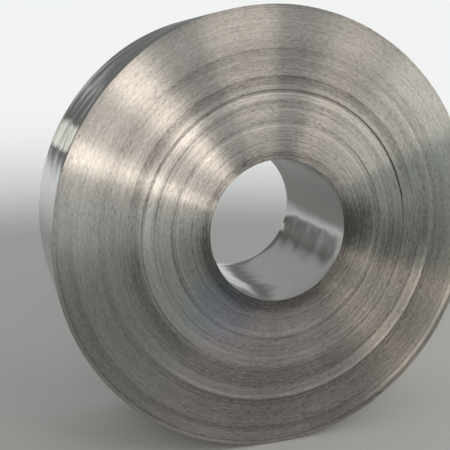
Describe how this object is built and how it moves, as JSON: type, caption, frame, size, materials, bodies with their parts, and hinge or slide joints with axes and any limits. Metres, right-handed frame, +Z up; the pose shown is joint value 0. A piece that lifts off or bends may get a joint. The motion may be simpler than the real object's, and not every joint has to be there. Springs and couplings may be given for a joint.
{
  "type": "steel coil",
  "caption": "Heavy roll of flat steel strip wound tight on itself, with a round bore through it and the edges of its turns showing as fine rings and steps on both ends.",
  "frame": {"origin": "centre of the bore, halfway along it", "axes": "+Y along the bore's axis from the front end to the back end, and +Z up: the coil lies on its outermost turn"},
  "size_m": [1.5825, 0.547, 1.5839],
  "materials": {
    "steel_strip": "bright cold-rolled strip on the outside, and on both ends the fine circular grain of its slit edges"
  },
  "bodies": {
    "root": {"steel_coil": "steel_strip"}
  },
  "joints": []
}
